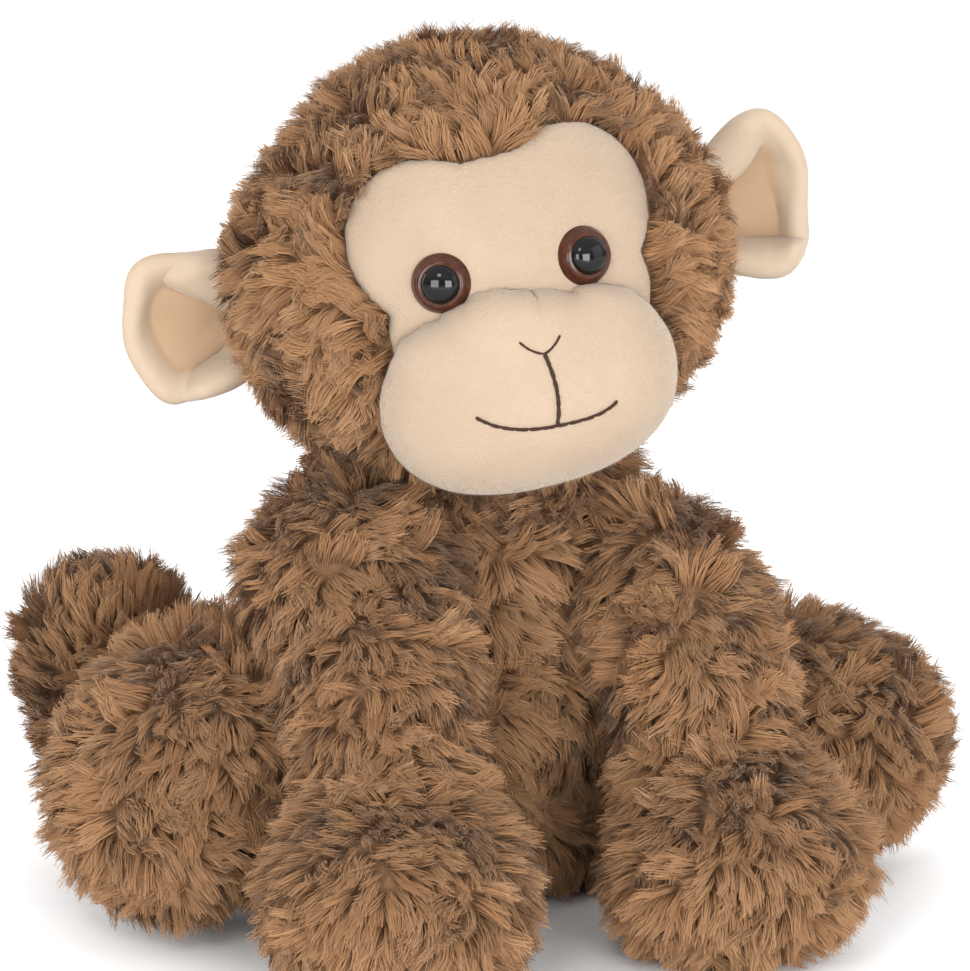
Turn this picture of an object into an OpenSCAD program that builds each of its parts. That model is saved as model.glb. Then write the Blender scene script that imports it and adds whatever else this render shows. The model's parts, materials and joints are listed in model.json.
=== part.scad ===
// Sitting stuffed monkey, front toward -Y, origin at the middle of its flat seat.

/* [Head] */
// Radius of the head
head_r = 57; // [55:0.5:58]
// Height of the middle of the head above the floor
head_z = 175; // [174:1:178]
// Lean of the head to one side
head_tilt = 12.5; // [0:0.5:14]
// Turn of the face to one side
head_yaw = 8; // [0:1:12]

/* [Face] */
// Width of the face patch
patch_w = 76; // [72:1:78]
// Width of the muzzle
muzzle_w = 76; // [72:1:80]
// Height of the muzzle
muzzle_h = 52; // [48:1:54]
// How far forward of the head's middle the muzzle reaches
muzzle_reach = 70; // [66:1:72]
// Diameter of an eye
eye_d = 15; // [12:0.5:16]
// Diameter of a pupil
pupil_d = 9.5; // [7:0.5:10]
// Distance between the middles of the eyes
eye_gap = 36; // [34:1:40]
// How much lower the left eye is sewn than the right one
eye_drop = 2; // [0:0.5:4]
// Thickness of the stitched thread
thread_d = 1.6; // [1:0.2:2]

/* [Ears] */
// Height of an ear
ear_h = 40; // [36:1:42]
// Radius that an ear is cupped to
ear_cup_r = 30; // [28:1:34]

/* [Body] */
// Widest radius of the torso
torso_r = 51; // [49:1:52]
// Radius of the flat seat
seat_r = 34; // [30:1:36]
// Radius of an arm
arm_r = 20; // [18:0.5:21]
// Width of a paw
paw_w = 60; // [54:1:61]
// Radius of a leg where it meets the torso
leg_r = 28; // [26:0.5:29]
// Width of a foot
foot_w = 58; // [54:1:60]
// Radius of the tail
tail_r = 19; // [16:0.5:20]

/* [Fabric] */
// Thickness of the plush skin
skin_t = 2; // [1.5:0.25:2.5]

/* [Hidden] */
$fn = 96;

RIGHT = -1; // the monkey's own right side is at -X
LEFT = 1;
FUR = "#8b6a4b";
VELOUR = "#ead0b4";
STUFFING = "#f2f0ea";
EYE_BROWN = "#55301c";
EYE_BLACK = "#15120f";
THREAD = "#4a2f22";
BAG = "#d8cfbf";
WASHER = "#e8e8e6";

gap = 0.3; // between a skin and what lies inside it
joint_gap = 0.6; // between a limb's ball and its socket
step = 0.01; // overshoot of a cut

head_at = [-7, -16, head_z];

// The toy sits a little askew: its arms lean to one side and its legs to the other
arm_shift = -3;
leg_shift = 5;

// The limbs' routes: [x, y, z, half width, half height] from the joint to the last round end
shoulder = [39, -34, 93];
arm_route = [
    [39, -34, 93, arm_r, arm_r],
    [43, -53, 72, arm_r + 1, arm_r],
    [44, -66, 46, arm_r + 2, arm_r],
    [46, -79, 25, paw_w / 2, arm_r + 6],
];
paw_cap = 20;
hip = [65, 0, 39];
leg_route = [
    [65, 0, 39, leg_r, leg_r],
    [76, -3, 41, leg_r, leg_r + 5],
    [87, -6, 40, leg_r - 1, leg_r + 7],
    [97, -9, 36, foot_w / 2, foot_w / 2 + 4],
];
foot_cap = 25;
tail_root = [0, 61, 24];
tail_route = [
    [0, 61, 24, tail_r - 3, tail_r - 3],
    [-16, 72, 21, tail_r - 2, tail_r - 2],
    [-42, 74, 20, tail_r, tail_r],
    [-68, 68, 29, tail_r + 1, tail_r + 1],
    [-85, 59, 46, tail_r + 1, tail_r + 1],
    [-91, 52, 65, tail_r, tail_r],
];
tail_cap = 18;

// [height, radius] up the torso, its seat first
torso_profile = [
    [0, seat_r], [5, torso_r - 9], [18, torso_r - 2], [36, torso_r], [52, torso_r - 3],
    [68, torso_r - 11], [82, torso_r - 17], [96, torso_r - 19], [110, torso_r - 19], [126, torso_r - 20],
];
neck_r = 18;
neck_depth = 10;

muzzle_mid = -1; // sideways from the head's middle
muzzle_z = -24.5;
muzzle_r = muzzle_h / 2;
muzzle_half = muzzle_w / 2;
muzzle_y = muzzle_r - muzzle_reach;
muzzle_square = 2.4; // 2 is an ellipse, and more is squarer

eye_z = 7.5;
eye_turn = 15; // each eye looks this far outward
eye_lift = 6; // and this far upward
eye_dome = 5;
eye_stem_d = 3.5;
eye_stem = 13;
washer_d = 14;
washer_t = 2;
washer_back = 2.6; // from the face's inside to the washer

ear_y = 18; // behind the head's middle
ear_x = sqrt(pow(head_r, 2) - pow(ear_y, 2)) + 3; // the ear's sewn edge, sideways from the head's middle
ear_z = -1;
ear_edge_r = 2.4;
ear_edge = 26;
ear_sheet = 1.5;

// ---- smooth routes and swept tubes ----

// The Catmull-Rom curve through b and c, at t from 0 to 1
function spline(a, b, c, d, t) =
    0.5 * (2 * b + (c - a) * t + (2 * a - 5 * b + 4 * c - d) * t * t + (3 * b - a - 3 * c + d) * t * t * t);

// A list of stations smoothed into `per` pieces between each two
function smooth(list, per) = let (n = len(list)) [
    for (i = [0 : n - 2], k = [0 : per - 1])
        spline(list[max(i - 1, 0)], list[i], list[i + 1], list[min(i + 2, n - 1)], k / per),
    list[n - 1],
];

function place(s) = [s[0], s[1], s[2]];
function unit(v) = v / norm(v);
function heading(route, i) =
    unit(place(route[min(i + 1, len(route) - 1)]) - place(route[max(i - 1, 0)]));

// One ring of the sweep, [middle, heading, half width, half height], as points no lower than floor_z
function ring_points(r, side, sides, floor_z) =
    let (across = unit(cross(r[1], side)), along = cross(across, r[1]))
    [
        for (k = [0 : sides - 1])
            let (p = r[0] + along * r[2] * cos(k * 360 / sides) + across * r[3] * sin(k * 360 / sides))
            [p[0], p[1], max(p[2], floor_z)],
    ];

// The rings of a round-ended tube whose surface lies `inset` inside the route's own sizes
function tube_rings(route, cap, inset, steps) =
    let (n = len(route), first = route[0], last = route[n - 1])
    [
        for (a = [-75 : 90 / steps : -10])
            [
                place(first) + heading(route, 0) * (first[3] - inset) * sin(a), heading(route, 0),
                (first[3] - inset) * cos(a), (first[4] - inset) * cos(a),
            ],
        for (i = [0 : n - 1])
            [place(route[i]), heading(route, i), route[i][3] - inset, route[i][4] - inset],
        for (a = [90 / steps : 90 / steps : 75])
            [
                place(last) + heading(route, n - 1) * (cap - inset) * sin(a), heading(route, n - 1),
                (last[3] - inset) * cos(a), (last[4] - inset) * cos(a),
            ],
    ];

// A closed tube through rings of equal size, with a point at each end
module skin_over(rings, first_point, last_point) {
    sides = len(rings[0]);
    count = len(rings);
    points = concat([first_point], [for (r = rings) each r], [last_point]);
    faces = concat(
        [for (k = [0 : sides - 1]) [0, 1 + k, 1 + (k + 1) % sides]],
        [
            for (i = [0 : count - 2], k = [0 : sides - 1])
                let (a = 1 + i * sides + k, b = 1 + i * sides + (k + 1) % sides)
                each [[a, a + sides, b], [b, a + sides, b + sides]],
        ],
        [
            for (k = [0 : sides - 1])
                let (base = 1 + (count - 1) * sides)
                [base + k, len(points) - 1, base + (k + 1) % sides],
        ]
    );
    polyhedron(points = points, faces = faces, convexity = 4);
}

// A stuffed limb: stations smoothed, swept and closed by a ball at its joint and a round cap at its far end
module limb(stations, cap, side, inset = 0, sides = 22, per = 4) {
    route = smooth(stations, per);
    last = len(route) - 1;
    rings = [
        for (r = tube_rings(route, cap, inset, 5)) ring_points(r, side, sides, inset),
    ];
    start = place(route[0]) - heading(route, 0) * (route[0][3] - inset);
    end = place(route[last]) + heading(route, last) * (cap - inset);
    skin_over(rings, start, [end[0], end[1], max(end[2], inset)]);
}

module limb_skin(stations, cap, side) {
    difference() {
        limb(stations, cap, side);
        limb(stations, cap, side, inset = skin_t);
    }
}

module limb_filling(stations, cap, side) {
    limb(stations, cap, side, inset = skin_t + gap);
}

// ---- frames that parts are placed in ----

module in_head() {
    translate(head_at) rotate([0, 0, -head_yaw]) rotate([0, -head_tilt, 0]) children();
}

module on_side(side) {
    mirror([side == RIGHT ? 1 : 0, 0, 0]) children();
}

module as_arm(side) {
    translate([arm_shift, 0, 0]) on_side(side) children();
}

module as_leg(side) {
    translate([leg_shift, 0, 0]) on_side(side) children();
}

// ---- torso ----

module torso_pear(inset) {
    top = torso_profile[len(torso_profile) - 1][0];
    wall = [for (s = smooth(torso_profile, 3)) [max(s[1] - inset, 1), min(max(s[0], inset), top - inset)]];
    rotate_extrude() polygon(concat([[0, inset]], wall, [[0, top - inset]]));
}

// The room that the head, the limbs and the tail need in the torso, made `grow` larger
module torso_sockets(grow) {
    translate(head_at) sphere(head_r + grow);
    for (side = [RIGHT, LEFT]) {
        as_arm(side) translate(shoulder) sphere(arm_r + grow);
        as_leg(side) translate(hip) sphere(leg_r + grow);
    }
    translate(tail_root) sphere(tail_route[0][3] + grow);
}

// The neck's stuffing passes from the torso into the head along the head's own axis
module neck_passage(radius, depth) {
    in_head() translate([0, 0, -head_r - depth]) cylinder(h = depth + 20, r = radius);
}

module torso_solid(inset) {
    difference() {
        torso_pear(inset);
        torso_sockets(joint_gap + inset);
        neck_passage(neck_r + gap + inset, neck_depth + gap + inset);
    }
}

module torso_skin() {
    color(FUR) difference() {
        torso_solid(0);
        torso_solid(skin_t);
    }
}

pellet_r = 26;
pellet_h = 16;
module pellet_pillow(inset) {
    rim = pellet_h / 2 - inset;
    translate([0, 0, skin_t + 4 + pellet_h / 2]) rotate_extrude() {
        translate([pellet_r - rim - inset, 0]) intersection() {
            circle(r = rim);
            translate([0, -rim]) square([rim, 2 * rim]);
        }
        translate([0, -rim]) square([pellet_r - rim - inset, 2 * rim]);
    }
}

module torso_filling() {
    color(STUFFING) difference() {
        torso_solid(skin_t + gap);
        pellet_pillow(-gap);
    }
}

bag_t = 0.8;
module pellet_bag() {
    color(BAG) difference() {
        pellet_pillow(0);
        pellet_pillow(bag_t);
    }
}

module seat_pellets() {
    color("white") pellet_pillow(bag_t + gap);
}

module neck_filling() {
    color(STUFFING) difference() {
        in_head() translate([0, 0, -head_r - neck_depth]) cylinder(h = neck_depth + 10, r = neck_r);
        translate(head_at) sphere(head_r + gap);
    }
}

// ---- head ----

// The face patch seen from the front: two round lobes over the eyes and a lower edge under the muzzle
patch_lobe_r = 20;
patch_lobe_z = 16;
patch_mid = 1.3; // sideways from the head's middle
module patch_outline(grow) {
    lobe_x = patch_w / 2 - patch_lobe_r;
    translate([patch_mid, 0]) patch_lobes(lobe_x, grow);
}

module patch_lobes(lobe_x, grow) {
    for (side = [RIGHT, LEFT]) translate([side * lobe_x, patch_lobe_z]) circle(r = patch_lobe_r + grow);
    for (side = [RIGHT, LEFT]) translate([side * (lobe_x - 5), -6]) circle(r = patch_lobe_r + grow);
    translate([-lobe_x, -24 - grow]) square([2 * lobe_x, patch_lobe_z + 24 + patch_lobe_r - 3 + 2 * grow]);
}

// A bar forward from the head's middle with the patch's outline
module patch_bar(grow) {
    rotate([90, 0, 0]) linear_extrude(height = head_r + 5) patch_outline(grow);
}

module in_eye(side) {
    drop = side == LEFT ? eye_drop : 0;
    on_side(side) translate([eye_gap / 2, -eye_face_y, eye_z - drop]) rotate([0, 0, eye_turn])
        rotate([90 - eye_lift, 0, 0]) children();
}
// How far forward of the head's middle the face lies under an eye
eye_face_y = sqrt(pow(head_r, 2) - pow(eye_gap / 2, 2) - pow(eye_z, 2)) + 0.7;

module eye_stem_holes(grow) {
    for (side = [RIGHT, LEFT]) in_eye(side)
        translate([0, 0, -eye_stem - 2]) cylinder(h = eye_stem + 4, d = eye_stem_d + 2 * grow);
}

module ear_rod(radius, length) {
    cylinder(h = length, r = radius, center = true);
}

module head_skin() {
    color(FUR) in_head() difference() {
        sphere(head_r);
        sphere(head_r - skin_t);
        patch_bar(gap / 2);
        translate([0, 0, -head_r - 5]) cylinder(h = 20, r = neck_r);
    }
}

module head_filling() {
    color(STUFFING) in_head() difference() {
        sphere(head_r - skin_t - gap);
        eye_stem_holes(gap);
        for (side = [RIGHT, LEFT]) in_eye(side)
            translate([0, 0, -skin_t - washer_back - washer_t - gap]) cylinder(h = washer_t + 6, d = washer_d + 2 * gap);
    }
}

module brow_patch() {
    color(VELOUR) in_head() difference() {
        intersection() {
            sphere(head_r);
            patch_bar(0);
        }
        sphere(head_r - skin_t);
        eye_stem_holes(gap);
    }
}

// The muzzle's radius about its own sideways axis, at u from its middle
function muzzle_radius(u, r, half) = r * pow(1 - pow(min(abs(u) / half, 1), muzzle_square), 1 / muzzle_square);

// A plump pillow across the face, turned about a sideways axis
module muzzle_pillow(inset) {
    half = muzzle_half - inset;
    outline = [for (a = [-90 : 7.5 : 90]) let (u = half * sin(a)) [muzzle_radius(u, muzzle_r - inset, half), u]];
    translate([muzzle_mid, muzzle_y, muzzle_z]) rotate([0, 90, 0]) rotate_extrude() polygon(outline);
}

module muzzle_skin() {
    color(VELOUR) in_head() difference() {
        muzzle_pillow(0);
        muzzle_pillow(skin_t);
        sphere(head_r + gap);
        eye_seats();
    }
}

module muzzle_filling() {
    color(STUFFING) in_head() difference() {
        muzzle_pillow(skin_t + gap);
        sphere(head_r + gap);
    }
}

// The muzzle's top edge stays clear of the eyes
module eye_seats() {
    for (side = [RIGHT, LEFT]) in_eye(side) translate([0, 0, -step]) cylinder(h = 12, d = eye_d + 2 * gap);
}

// A dome of `height` over a disc of `diameter`, standing on z = 0
module dome(diameter, height) {
    r = (pow(diameter / 2, 2) + pow(height, 2)) / (2 * height);
    intersection() {
        translate([0, 0, height - r]) sphere(r);
        cylinder(h = height + step, d = diameter + step);
    }
}

pupil_rise = 0.6;
pupil_seat = 2.5;
module eye_iris(side) {
    color(EYE_BROWN) in_head() in_eye(side) difference() {
        union() {
            dome(eye_d, eye_dome);
            translate([0, 0, -eye_stem]) cylinder(h = eye_stem + 1, d = eye_stem_d);
        }
        translate([0, 0, pupil_seat]) cylinder(h = eye_dome, d = pupil_d + 0.1);
    }
}

module eye_pupil(side) {
    color(EYE_BLACK) in_head() in_eye(side) translate([0, 0, pupil_seat])
        dome(pupil_d, eye_dome + pupil_rise - pupil_seat);
}

module eye_washer(side) {
    color(WASHER) in_head() in_eye(side)
        translate([0, 0, -skin_t - washer_back - washer_t]) difference() {
            cylinder(h = washer_t, d = washer_d);
            translate([0, 0, -step]) cylinder(h = washer_t + 2 * step, d = eye_stem_d);
        }
}

// ---- stitched nose and mouth ----

// The point on the muzzle's front at sideways u and height v, `lift` above the cloth
function on_muzzle(u, v, lift) =
    let (r = muzzle_radius(u - muzzle_mid, muzzle_r, muzzle_half) + lift)
    [u, muzzle_y - sqrt(r * r - pow(v - muzzle_z, 2)), v];

nose_at = [0.8, -13];
nose_arms = [[-4.7, -8.6], [6, -9.4]];
mouth_mid = [0, -31.1];
mouth_ends = [[-19.2, -24.2], [16.4, -29]];

module thread(route, d) {
    stations = [for (p = route) let (q = on_muzzle(p[0], p[1], d / 2 + 0.05)) [q[0], q[1], q[2], d / 2, d / 2]];
    rings = [for (r = tube_rings(stations, d / 2, 0, 3)) ring_points(r, [0, 1, 0.3], 8, -1000)];
    last = len(stations) - 1;
    skin_over(
        rings,
        place(stations[0]) - heading(stations, 0) * d / 2,
        place(stations[last]) + heading(stations, last) * d / 2
    );
}

module nose_stitch() {
    color(THREAD) in_head() {
        thread(smooth([nose_at, [1.6, -21], mouth_mid + [0, thread_d]], 4), thread_d);
        for (arm = nose_arms) thread(smooth([nose_at, nose_at * 0.4 + arm * 0.6 + [0, -0.6], arm], 3), thread_d * 0.7);
    }
}

module mouth_stitch() {
    color(THREAD) in_head()
        thread(smooth([mouth_ends[0], [-10, -29.5], mouth_mid, [9.5, -31.2], mouth_ends[1]], 4), thread_d);
}

// ---- ears ----

// A layer of a cupped ear: part of a ball's shell, round in outline, sewn along a straight edge
module ear_layer(outer, thickness) {
    mid_x = 12; // the outline's middle, sideways from the sewn edge
    intersection() {
        translate([mid_x, -sqrt(pow(ear_cup_r, 2) - pow(mid_x, 2)), 0]) difference() {
            sphere(outer);
            sphere(outer - thickness);
        }
        translate([mid_x, ear_cup_r, 0]) rotate([90, 0, 0]) cylinder(h = 3 * ear_cup_r, d = ear_h);
        translate([0, -ear_cup_r, -ear_h]) cube([ear_h, 2 * ear_cup_r, 2 * ear_h]);
    }
}

module on_ear(side) {
    in_head() on_side(side) translate([ear_x, ear_y, ear_z]) children();
}

module ear_front(side) {
    color(VELOUR) on_ear(side) difference() {
        ear_layer(ear_cup_r - ear_sheet - gap, ear_sheet);
        ear_rod(ear_edge_r + gap, ear_h);
    }
}

module ear_back(side) {
    color(VELOUR) on_ear(side) {
        ear_layer(ear_cup_r, ear_sheet);
        ear_rod(ear_edge_r, ear_edge);
    }
}

// ---- arms, legs and tail ----

ARM_SIDE = [1, 0, 0];
LEG_SIDE = [0, 0, 1];
TAIL_SIDE = [0, 1, 0];

module arm_skin(side) {
    color(FUR) as_arm(side) limb_skin(arm_route, paw_cap, ARM_SIDE);
}

module arm_filling(side) {
    color(STUFFING) as_arm(side) limb_filling(arm_route, paw_cap, ARM_SIDE);
}

module leg_skin(side) {
    color(FUR) as_leg(side) limb_skin(leg_route, foot_cap, LEG_SIDE);
}

module leg_filling(side) {
    color(STUFFING) as_leg(side) limb_filling(leg_route, foot_cap, LEG_SIDE);
}

module tail_skin() {
    color(FUR) limb_skin(tail_route, tail_cap, TAIL_SIDE);
}

module tail_filling() {
    color(STUFFING) limb_filling(tail_route, tail_cap, TAIL_SIDE);
}

torso_skin();
torso_filling();
pellet_bag();
seat_pellets();
neck_filling();
head_skin();
head_filling();
brow_patch();
muzzle_skin();
muzzle_filling();
eye_iris(RIGHT);  // right_eye_iris
eye_pupil(RIGHT);  // right_eye_pupil
eye_washer(RIGHT);  // right_eye_washer
eye_iris(LEFT);  // left_eye_iris
eye_pupil(LEFT);  // left_eye_pupil
eye_washer(LEFT);  // left_eye_washer
nose_stitch();
mouth_stitch();
ear_front(RIGHT);  // right_ear_front
ear_back(RIGHT);  // right_ear_back
ear_front(LEFT);  // left_ear_front
ear_back(LEFT);  // left_ear_back
arm_skin(RIGHT);  // right_arm_skin
arm_filling(RIGHT);  // right_arm_filling
arm_skin(LEFT);  // left_arm_skin
arm_filling(LEFT);  // left_arm_filling
leg_skin(RIGHT);  // right_leg_skin
leg_filling(RIGHT);  // right_leg_filling
leg_skin(LEFT);  // left_leg_skin
leg_filling(LEFT);  // left_leg_filling
tail_skin();
tail_filling();
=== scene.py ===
import json
import math

import bmesh
import bpy
import numpy as np
from mathutils import Matrix, Vector
from mathutils.bvhtree import BVHTree
from mathutils.kdtree import KDTree


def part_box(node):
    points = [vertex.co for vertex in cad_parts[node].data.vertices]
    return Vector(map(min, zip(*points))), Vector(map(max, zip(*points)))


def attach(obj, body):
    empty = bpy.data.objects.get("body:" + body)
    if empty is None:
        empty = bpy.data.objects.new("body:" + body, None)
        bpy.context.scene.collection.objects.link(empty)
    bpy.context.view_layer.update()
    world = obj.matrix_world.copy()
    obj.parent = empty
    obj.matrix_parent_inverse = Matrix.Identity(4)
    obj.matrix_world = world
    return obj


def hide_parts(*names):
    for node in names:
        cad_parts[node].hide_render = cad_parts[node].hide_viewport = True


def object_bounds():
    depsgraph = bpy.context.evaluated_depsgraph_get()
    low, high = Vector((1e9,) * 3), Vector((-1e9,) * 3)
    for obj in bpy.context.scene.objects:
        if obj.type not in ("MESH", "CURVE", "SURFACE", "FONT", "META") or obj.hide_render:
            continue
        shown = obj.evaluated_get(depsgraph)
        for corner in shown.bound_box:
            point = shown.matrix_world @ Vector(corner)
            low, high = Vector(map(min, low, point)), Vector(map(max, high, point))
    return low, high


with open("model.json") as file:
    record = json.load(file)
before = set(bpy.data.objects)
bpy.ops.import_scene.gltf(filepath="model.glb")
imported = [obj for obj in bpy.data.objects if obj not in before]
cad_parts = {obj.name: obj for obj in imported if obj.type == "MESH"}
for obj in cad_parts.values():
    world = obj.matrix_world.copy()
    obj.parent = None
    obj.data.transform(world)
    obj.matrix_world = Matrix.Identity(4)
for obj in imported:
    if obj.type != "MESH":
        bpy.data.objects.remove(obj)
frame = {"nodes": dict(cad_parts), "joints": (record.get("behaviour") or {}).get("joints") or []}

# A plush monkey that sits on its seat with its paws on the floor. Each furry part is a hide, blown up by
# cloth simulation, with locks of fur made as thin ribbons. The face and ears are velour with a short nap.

CAD_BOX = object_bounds()
NODES = frame["nodes"]
JOINTS = {joint["name"]: joint for joint in frame["joints"]}
MM = 0.001
SEED = 11  # each part's random numbers start from it

# ---------------------------------------------------------------------------------- the head's own frame
# +X is towards the toy's left ear, +Y the back of the head and +Z its crown. Face features are placed in it.
HEAD_AT = Vector(JOINTS["neck_turn"]["pos_m"])
HEAD_UP = Vector(JOINTS["neck_turn"]["axis"])
HEAD_SIDE = Vector(JOINTS["neck_nod"]["axis"])
HEAD_BACK = HEAD_UP.cross(HEAD_SIDE)
HEAD = Matrix((HEAD_SIDE, HEAD_BACK, HEAD_UP)).transposed().to_4x4()
HEAD.translation = HEAD_AT
TO_HEAD = HEAD.inverted()


# ---------------------------------------------------------------------------------- camera, floor, light
VIEW_AZIMUTH = math.radians(-19)
VIEW_ELEVATION = math.radians(11.5)
VIEW_DISTANCE = 1.1
VIEW_TARGET = Vector((0, -0.008, 0.114))
VIEW_SLIDE = -1.86 * MM  # the toy stands a touch right of the frame's centre
VIEW_LENS = 153.75

FLOOR_HALF = 9
FLOOR_DROP = 0.0002  # keeps the floor just under the toy
SKY_LOW = (0.33, 0.33, 0.33)
SKY_HIGH = (1, 1, 1)
SKY_STRENGTH = 1.14
# Each area light: its place, its width and height in metres, and its power in watts.
LIGHTS = {
    "key": ((-0.62, -1.05, 0.98), 0.3, 0.3, 3.0),
    "left_window": ((-0.92, -0.96, 0.25), 0.6, 0.48, 9.0),
    "right_window": ((0.06, -1.32, 0.25), 0.6, 0.48, 12.0),
    "backdrop": ((0.0, 1.5, 0.8), 2.6, 1.1, 9.0),
    "back_left": ((-1.2, 0.9, 0.5), 0.9, 0.8, 6.0),
    "back_right": ((1.5, 0.8, 0.5), 0.8, 0.8, 6.0),
    "fill": ((0.95, -0.85, 0.45), 0.9, 0.9, 3.0),
}


def make_camera():
    """The camera, turned to the target, and slid sideways with it."""
    back = Vector((
        math.sin(VIEW_AZIMUTH) * math.cos(VIEW_ELEVATION),
        -math.cos(VIEW_AZIMUTH) * math.cos(VIEW_ELEVATION),
        math.sin(VIEW_ELEVATION),
    ))
    data = bpy.data.cameras.new("camera")
    data.lens = VIEW_LENS
    data.sensor_width = 36
    data.clip_start = 0.05
    camera = bpy.data.objects.new("camera", data)
    bpy.context.scene.collection.objects.link(camera)
    turn = back.to_track_quat("Z", "Y")
    right = turn @ Vector((1, 0, 0))
    camera.rotation_euler = turn.to_euler()
    camera.location = VIEW_TARGET + back * VIEW_DISTANCE + right * VIEW_SLIDE
    bpy.context.scene.camera = camera


def area_light(name, place, wide, tall, power):
    """A soft light that faces the toy."""
    data = bpy.data.lights.new(name, "AREA")
    data.shape = "RECTANGLE"
    data.size = wide
    data.size_y = tall
    data.energy = power
    light = bpy.data.objects.new(name, data)
    bpy.context.scene.collection.objects.link(light)
    light.location = place
    light.rotation_euler = (Vector(place) - VIEW_TARGET).to_track_quat("Z", "Y").to_euler()


def make_floor():
    """A white floor that runs out of view."""
    mesh = bpy.data.meshes.new("floor")
    corners = [(x * FLOOR_HALF, y * FLOOR_HALF, 0) for x, y in ((-1, -1), (1, -1), (1, 1), (-1, 1))]
    mesh.from_pydata(corners, [], [(0, 1, 2, 3)])
    floor = new_object("floor", mesh)
    floor.location.z = -FLOOR_DROP
    paint, _ = principled("floor_white", (0.96, 0.96, 0.96), 0.9, {"Specular IOR Level": 0.0})
    mesh.materials.append(paint)


def make_sky():
    """A sky that is dim at the horizon and white overhead."""
    world = bpy.data.worlds.new("studio")
    bpy.context.scene.world = world
    world.use_nodes = True
    tree = world.node_tree
    background = tree.nodes["Background"]
    place = tree.nodes.new("ShaderNodeTexCoord")
    split = tree.nodes.new("ShaderNodeSeparateXYZ")
    ramp = ramp_node(tree, [(0.0, SKY_LOW), (0.45, SKY_HIGH)])
    tree.links.new(place.outputs["Generated"], split.inputs[0])
    tree.links.new(split.outputs["Z"], ramp.inputs["Fac"])
    tree.links.new(ramp.outputs["Color"], background.inputs["Color"])
    background.inputs["Strength"].default_value = SKY_STRENGTH


def make_studio():
    """The floor, the sky, and soft lights round the toy. The two windows show in its eyes."""
    make_floor()
    make_sky()
    for name, (place, wide, tall, power) in LIGHTS.items():
        area_light(name, place, wide, tall, power)
    bpy.context.scene.view_settings.view_transform = "Standard"


# ---------------------------------------------------------------------------------- materials
def principled(name, colour, roughness, sockets=()):
    """A material with a Principled shader. Sockets are more of its inputs, by name."""
    material = bpy.data.materials.new(name)
    material.use_nodes = True
    shader = material.node_tree.nodes["Principled BSDF"]
    shader.inputs["Base Color"].default_value = (*colour, 1)
    shader.inputs["Roughness"].default_value = roughness
    for socket, value in dict(sockets).items():
        shader.inputs[socket].default_value = value
    return material, shader


def ramp_node(tree, stops):
    """A colour ramp with the given (position, colour) stops."""
    ramp = tree.nodes.new("ShaderNodeValToRGB")
    elements = ramp.color_ramp.elements
    while len(elements) < len(stops):
        elements.new(0.5)
    for element, (position, colour) in zip(elements, stops):
        element.position = position
        element.color = (*colour, 1)
    return ramp


def noise_node(tree, scale, detail=3.0):
    """Noise over the object's own coordinates. Scale is in waves a metre."""
    place = tree.nodes.new("ShaderNodeTexCoord")
    noise = tree.nodes.new("ShaderNodeTexNoise")
    noise.inputs["Scale"].default_value = scale
    noise.inputs["Detail"].default_value = detail
    tree.links.new(place.outputs["Object"], noise.inputs["Vector"])
    return noise


def bump_from(tree, shader, height, distance):
    bump = tree.nodes.new("ShaderNodeBump")
    bump.inputs["Distance"].default_value = distance
    tree.links.new(height, bump.inputs["Height"])
    tree.links.new(bump.outputs["Normal"], shader.inputs["Normal"])


def toned_material(name, stops, sockets):
    """A material whose colour follows the mesh's tone attribute, for fur, nap and ears. The tone carries
    painted shade and painted light.
    """
    material, shader = principled(name, stops[-1][1], 0.9, sockets)
    tree = material.node_tree
    tone = tree.nodes.new("ShaderNodeAttribute")
    tone.attribute_name = "tone"
    ramp = ramp_node(tree, stops)
    tree.links.new(tone.outputs["Fac"], ramp.inputs["Fac"])
    tree.links.new(ramp.outputs["Color"], shader.inputs["Base Color"])
    return material


def noisy_material(name, colours, scale, roughness, sockets, bump=0.0, bump_scale=None):
    """A material that drifts between two colours. Bump is the depth of its fine grain, if it has any."""
    material, shader = principled(name, colours[0], roughness, sockets)
    tree = material.node_tree
    ramp = ramp_node(tree, [(0.3, colours[0]), (0.7, colours[1])])
    noise = noise_node(tree, scale)
    tree.links.new(noise.outputs["Fac"], ramp.inputs["Fac"])
    tree.links.new(ramp.outputs["Color"], shader.inputs["Base Color"])
    if bump:
        fine = noise_node(tree, bump_scale, 4.0)
        bump_from(tree, shader, fine.outputs["Fac"], bump)
    return material


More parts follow.
